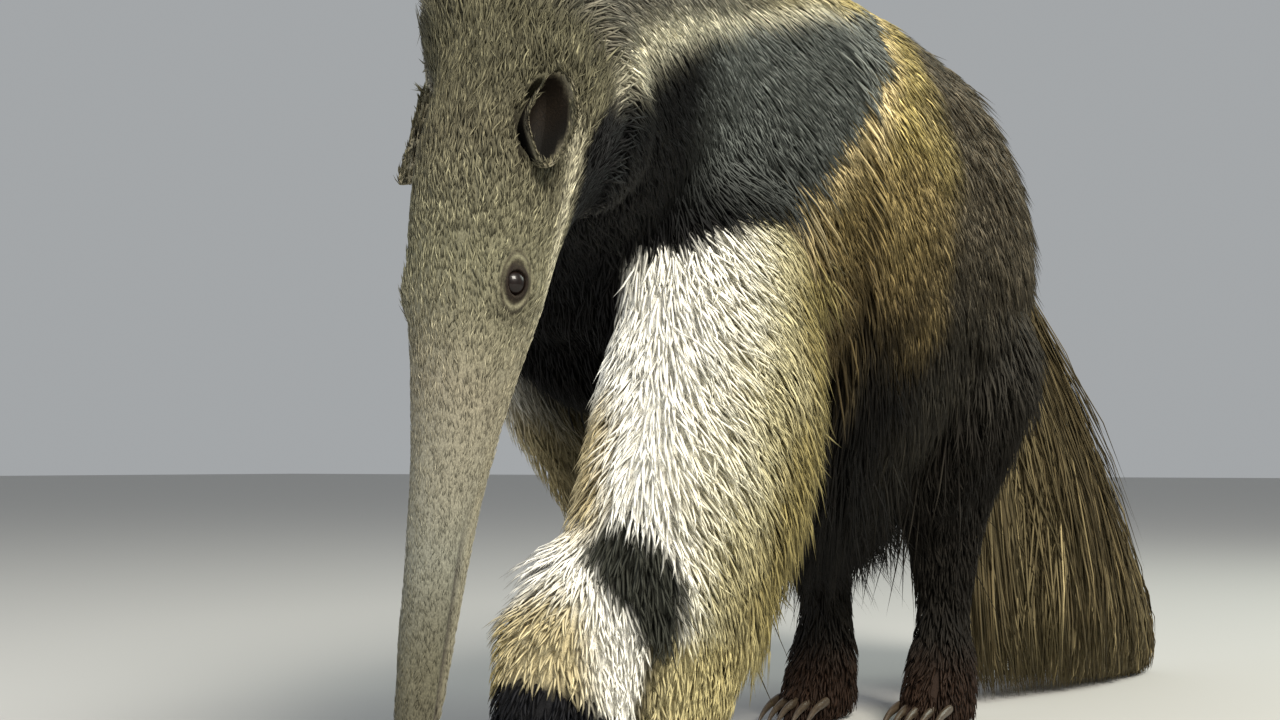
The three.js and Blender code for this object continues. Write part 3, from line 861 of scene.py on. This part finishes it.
def coat(
    name,
    slot,
    at,
    length,
    width,
    lift,
    rings=3,
    droop=0.0,
    curl=0.12,
    stray=0.10,
    flow=None,
    within=None,
    dark_root_and_shade=0.45,
    tip="#c9bb97",
    tip_pale=0.18,
    vary=0.16,
):
    """Thin tapering locks from the roots at, as one mesh.

    lift is how high the tip stands off the skin, and droop how far it sinks over its length. curl bends
    locks sideways and stray turns them. flow is their way where it isn't the skin's, and within draws
    them into an outline. dark_root_and_shade, tip, tip_pale and vary change the marking's colour.
    """
    count = len(at["place"])
    p, n = at["place"], at["normal"]
    width, lift = np.broadcast_to(width, count), np.broadcast_to(lift, count)
    wave = np.array([noise.noise_vector(Vector(v) * 38) for v in p])
    way = unit(at["lie"] if flow is None else flow)
    way = unit(way + stray * rng.normal(size=(count, 3)) + 0.22 * wave)
    way = unit(way - n * np.sum(way * n, 1, keepdims=True) * (0.75 if flow is None else 0))
    side = unit(np.cross(way, n))
    length = length * rng.uniform(0.72, 1.2, count)
    bend = rng.normal(0, curl, count)
    steps = np.array([0.0, 0.34, 0.70, 1.0] if rings == 3 else [0.0, 0.5, 1.0])
    broad = np.interp(steps, (0, 0.3, 0.7, 1), (0.75, 1.0, 0.72, 0.0))

    inner = len(steps) - 1
    verts = np.empty((count, inner * 3 + 1, 3))
    for k, t in enumerate(steps):
        c = p - n * np.minimum(0.002, 0.25 * lift)[:, None] + way * (length * t)[:, None]
        c = c + n * (lift * (1 - (1 - t) ** 2))[:, None] + side * (bend * length * t * t)[:, None]
        c = c + DOWN * (droop * length * t * t)[:, None]
        c = within(c) if within else c
        c[:, 1] = bent_back(c[:, 1])
        c[:, 2] = np.maximum(c[:, 2], LOCK_CLEARANCE * (0.6 + rng.random(count)))
        if k == inner:
            verts[:, -1] = c
        else:
            half = side * (width * broad[k] / 2)[:, None]
            verts[:, k * 3] = c - half
            verts[:, k * 3 + 1] = c + half
            verts[:, k * 3 + 2] = c + n * (width * broad[k] * 0.32)[:, None]
    verts[..., 2] = np.maximum(verts[..., 2], 0.0008)
    loops = (lock_faces(inner)[None] + (np.arange(count) * verts.shape[1])[:, None, None]).reshape(-1)

    mesh = bpy.data.meshes.new(name)
    mesh.vertices.add(count * verts.shape[1])
    mesh.vertices.foreach_set("co", verts.astype(np.float32).ravel())
    mesh.loops.add(len(loops))
    mesh.loops.foreach_set("vertex_index", loops.astype(np.int32))
    mesh.polygons.add(len(loops) // 3)
    mesh.polygons.foreach_set("loop_start", np.arange(0, len(loops), 3, dtype=np.int32))
    shade_smooth(mesh)
    mesh.update(calc_edges=True)

    # Darker at the root, partly the hair's dark base and partly painted shade deep in the coat, and paler at the tip
    # than the marking, by an amount that differs from lock to lock.
    level = np.append(np.repeat(steps[:-1], 3), 1.0)
    hue = marking(p + way * (0.4 * length)[:, None], at["weights"]) * np.exp(rng.normal(0, vary, count))[:, None]
    shade = (1 - dark_root_and_shade) + dark_root_and_shade * np.clip(level * 1.9, 0, 1)
    pale = rng.random((count, 1)) ** 2 * tip_pale * 3
    colours = hue[:, None] * shade[None, :, None]
    paler = 1.2 * (hue**0.75 * linear(tip) ** 0.25)[:, None]
    colours = colours + (paler - colours) * (pale * smooth(level, 0.45, 1.0)[None])[..., None]
    paint(mesh, "marking", colours.reshape(-1, 3))

    across = np.append(np.tile([0.0, 1.0, 0.5], inner), 0.5)
    flat = np.stack([np.tile(across, (count, 1)), np.tile(level, (count, 1))], -1)
    patch = unwrap(p)[:, None] + flat * PATCH
    strand = [flat[..., 0] * 3 + rng.random(count)[:, None] * 900, flat[..., 1] * (length / 0.02)[:, None]]
    for title, values in (("OFBake", patch), ("strands", np.stack(strand, -1))):
        layer = mesh.uv_layers.new(name=title)
        layer.data.foreach_set("uv", values.reshape(-1, 2)[loops].astype(np.float32).ravel())
    shown(name, mesh, hair_material)


# Face: short hair, where the skin's grain doesn't break the outline. It is longer up the head, and short by the ears.
from_tip, _, _ = head_place(skin_places)
at = roots(part["head"] * (1 + 0.8 * smooth(from_tip, 0.25, 0.35)), 17000)
from_tip, _, _ = head_place(at["place"])
size = 0.0045 + 0.0025 * smooth(from_tip, 0.12, 0.24) + 0.007 * smooth(from_tip, 0.27, 0.37)
for side in SIDES.values():
    from_ear = np.linalg.norm(at["place"] - ear_place(side), axis=1)
    size = size * (0.55 + 0.45 * smooth(from_ear, 0.028, 0.036))
wide = 0.00065 + 0.0007 * smooth(from_tip, 0.14, 0.36)
lift = size * (0.11 + 0.08 * smooth(from_tip, 0.14, 0.30))
vary = 0.16 + 0.26 * smooth(from_tip, 0.1, 0.3)
looks = dict(curl=0.2, dark_root_and_shade=0.3, tip="#b0aa94", tip_pale=0.3, vary=vary)
coat("coat_face", "face_fur", at, size, wide, lift, rings=2, **looks)

# Neck and shoulders: longest along the top, as a low mane.
at = roots(part["neck"], 15000)
top = smooth(at["normal"][:, 2], 0.7, 0.97)
looks = dict(tip="#b4af9c", tip_pale=0.2, vary=0.3)
coat("coat_neck", "mane_fur", at, 0.022 + 0.030 * top, 0.0019, 0.006 + 0.014 * top, rings=2, **looks)

at = roots(part["chest"], 17000)
top = smooth(at["normal"][:, 2], 0.7, 0.97)
looks = dict(tip="#858a8c", tip_pale=0.08)
coat("coat_shoulders", "stripe_fur", at, 0.030 + 0.040 * top, 0.0022, 0.009 + 0.010 * top, rings=2, **looks)

# Flanks: longer below, and hanging under the belly. Then the rump and the tail's root.
for hand, count in (("left", 10500), ("right", 6000)):
    side = SIDES[hand]
    at = roots(part["flank"] * (skin_places[:, 1] * side > SHIFT[1] * side), count)
    low = smooth(0.42 - at["place"][:, 2], 0.0, 0.12)
    under = smooth(0.36 - at["place"][:, 2], 0.0, 0.06)
    size = 0.045 + 0.080 * low + 0.025 * under
    looks = dict(droop=0.10 + 0.1 * low + 0.4 * under, dark_root_and_shade=0.65, tip_pale=0.3, vary=0.35)
    coat(f"coat_flank_{hand}", "flank_fur", at, size, 0.0033, 0.015 + 0.008 * low, **looks)

tail_root = part["tail"] * smooth(skin_places[:, 0] - SHIFT[0], -0.60, -0.50)
at = roots(part["rump"] + 1.6 * tail_root, 9800)
looks = dict(droop=0.12, dark_root_and_shade=0.6, tip="#8d8264", tip_pale=0.25, vary=0.35)
coat("coat_rump", "rump_fur", at, 0.065, 0.0038, 0.016, **looks)

# Forelegs, with the fringe behind the forearm.
for hand, count in (("left", 12000), ("right", 4000)):
    at = roots(part["arm_" + hand] + part["hand_" + hand], count)
    q = at["place"] - SHIFT
    behind = smooth(fore_ridge(q[:, 2], hand) - q[:, 0], 0.07, 0.14)
    puff = wrist_front(q, hand)
    on_hand = at["weights"][:, REGIONS.index("hand_" + hand)]
    size = (0.030 + 0.040 * behind) * (1 - 0.45 * smooth(on_hand, 0.3, 0.9)) + 0.024 * puff
    lift = 0.010 + 0.010 * behind + 0.018 * puff - 0.003 * on_hand
    looks = dict(stray=0.16, dark_root_and_shade=0.18, tip_pale=0.15, vary=0.14)
    coat(f"coat_foreleg_{hand}", "foreleg_fur", at, size, 0.0021 + 0.0008 * behind, lift, **looks)

for hand, count in (("left", 5200), ("right", 5000)):
    at = roots(part["thigh_" + hand] + part["foot_" + hand], count)
    on_foot = at["weights"][:, REGIONS.index("foot_" + hand)]
    high = smooth(at["place"][:, 2], 0.20, 0.36)
    size = 0.034 + 0.045 * high - 0.010 * on_foot
    lift = 0.010 + 0.008 * high - 0.004 * on_foot
    coat(f"coat_hindleg_{hand}", "hindleg_fur", at, size, 0.0030, lift, tip="#5a5048", tip_pale=0.05)

# The tail: very long hair that hangs from the core like a broom, with its ends just over the floor.
# Its outline along the tail: length, aside, height, half width, and how far it reaches up and down.
TAIL_ROUND = np.array(
    [
        (-0.846, 0.112, 0.028, 0.014, 0.020, 0.040),
        (-0.814, 0.110, 0.060, 0.035, 0.041, 0.074),
        (-0.752, 0.102, 0.126, 0.054, 0.055, 0.143),
        (-0.678, 0.088, 0.205, 0.065, 0.066, 0.225),
        (-0.604, 0.070, 0.290, 0.072, 0.072, 0.310),
        (-0.545, 0.050, 0.370, 0.072, 0.074, 0.330),
        (-0.498, 0.032, 0.428, 0.070, 0.074, 0.150),
        (-0.450, 0.012, 0.470, 0.080, 0.090, 0.100),
    ]
)
TAIL_END = (-0.77, 0.07)  # where the hair's ends begin to be held back, and how far they still reach


def in_tail(p):
    """Places drawn softly inside the tail's outline."""
    q = p - SHIFT
    start, reach = TAIL_END
    q[:, 0] = np.where(q[:, 0] < start, start - reach * np.tanh((start - q[:, 0]) / reach), q[:, 0])
    y, z, half, top, under = (np.interp(q[:, 0], TAIL_ROUND[:, 0], TAIL_ROUND[:, k]) for k in range(1, 6))
    high = q[:, 2] - z
    top = top * loose
    q[:, 2] = z + np.where(high > 0, top * np.tanh(high / top), high)
    level = np.where(high > 0, high / top, high / under)
    room = half * loose * np.sqrt(np.clip(1 - level**2 * 0.6, 0.3, 1))
    q[:, 1] = y + room * np.tanh((q[:, 1] - y) / room)
    return q + SHIFT


count = 11500
loose = rng.uniform(0.72, 1.12, count)  # how far each lock reaches out of the rest
t = rng.random(count) ** 1.15
core, radius = along_core(t)
along = unit(along_core(np.minimum(t + 0.02, 1.0))[0] - along_core(np.maximum(t - 0.02, 0.0))[0])
out = unit(rng.normal(size=(count, 3)))
out = unit(out - along * np.sum(out * along, 1, keepdims=True))
all_tail = np.tile(np.eye(len(REGIONS))[REGIONS.index("tail")], (count, 1))
at = dict(place=core + out * radius[:, None] * 0.9, normal=out, lie=along, weights=all_tail)
upper = smooth(out[:, 2:], -0.6, 0.9)
hang = unit(along * (0.40 + 0.45 * upper) + DOWN * (0.8 + 0.6 * rng.random((count, 1))) + out * 0.10)
drop = at["place"][:, 2] / np.maximum(-hang[:, 2], 0.3)
size = np.minimum(rng.uniform(0.24, 0.45, count), drop * 0.98)
looks = dict(curl=0.06, stray=0.05, dark_root_and_shade=0.5, tip_pale=0.3, vary=0.38)
lift = rng.uniform(0.010, 0.060, count)
coat("coat_tail", "tail_hair", at, size, 0.0038, lift, flow=hang, within=in_tail, **looks)

# ---------------------------------------------------------------- eyes and claws
for hand, side in SIDES.items():
    name = "eye_" + hand
    ball = bpy.data.meshes.new(name + "_ball")
    turn = Vector(EYE_OUT[side]).to_track_quat("Z", "Y").to_matrix().to_4x4()
    place = Matrix.Translation(eye_place(side)) @ turn
    with edited(ball) as shape:
        bmesh.ops.create_uvsphere(shape, u_segments=40, v_segments=24, radius=EYE_RADIUS, matrix=place)
    shade_smooth(ball)
    shown(name + "_ball", ball, eye_material, [name])

for name, node in nodes.items():
    if name.startswith("claw"):
        horn = bpy.data.meshes.new(name + "_horn")
        with edited(horn) as shape:
            shape.from_mesh(node.data)
            bmesh.ops.remove_doubles(shape, verts=shape.verts, dist=1e-5)
        horn = reshaped(horn, ("SUBSURF", dict(levels=2, render_levels=2)))
        shade_smooth(horn)
        shown(name + "_horn", horn, horn_material, [name])

# ---------------------------------------------------------------- floor, light and camera
floor_material, tree = new_material("pale_floor")
finish(tree, {"Base Color": (*linear("#bfbebb"), 1), "Roughness": 0.95})
floor_mesh = bpy.data.meshes.new("floor")
with edited(floor_mesh) as shape:
    bmesh.ops.create_grid(shape, x_segments=1, y_segments=1, size=30)
floor_mesh.materials.append(floor_material)
floor = bpy.data.objects.new("floor", floor_mesh)
bpy.context.scene.collection.objects.link(floor)

world = bpy.data.worlds.new("studio")
world.use_nodes = True
world.node_tree.nodes["Background"].inputs[0].default_value = (*linear("#dfe3e6"), 1)
world.node_tree.nodes["Background"].inputs[1].default_value = 0.5
bpy.context.scene.world = world


def aimed(name, data, place, way):
    """A lamp or camera at a place, looking one way."""
    thing = bpy.data.objects.new(name, data)
    thing.location = place
    thing.rotation_euler = Vector(way).to_track_quat("-Z", "Y").to_euler()
    bpy.context.scene.collection.objects.link(thing)
    return thing


def lamp(name, place, aim, size, power, colour):
    data = bpy.data.lights.new(name, "AREA")
    data.size = size
    data.energy = power
    data.color = linear(colour)
    aimed(name, data, place, Vector(aim) - Vector(place))


lamp("key", (2.0, 2.6, 3.0), (0.2, 0, 0.4), 1.5, 265, "#fff9ec")
lamp("fill", (3.0, -1.6, 1.6), (0.3, 0, 0.4), 2.4, 34, "#e8f0ff")
lamp("rim", (-2.2, 1.6, 2.2), (-0.2, 0, 0.4), 1.6, 40, "#f3fff0")

# The photo's camera, as solved from the animal's stance and outline.
CAMERA_AT = SHIFT + np.array((1.228, 0.647, 0.263))
YAW, PITCH = math.radians(31.9), math.radians(3.8)
LENS, SENSOR = 44.04, 36  # millimetres
camera_data = bpy.data.cameras.new("camera")
camera_data.lens = LENS
camera_data.sensor_width = SENSOR
look = (-math.cos(YAW) * math.cos(PITCH), -math.sin(YAW) * math.cos(PITCH), math.sin(PITCH))
bpy.context.scene.camera = aimed("camera", camera_data, CAMERA_AT, look)
# The plain transform keeps the coat's blacks and whites as deep and clear as they are.
bpy.context.scene.view_settings.view_transform = "Standard"
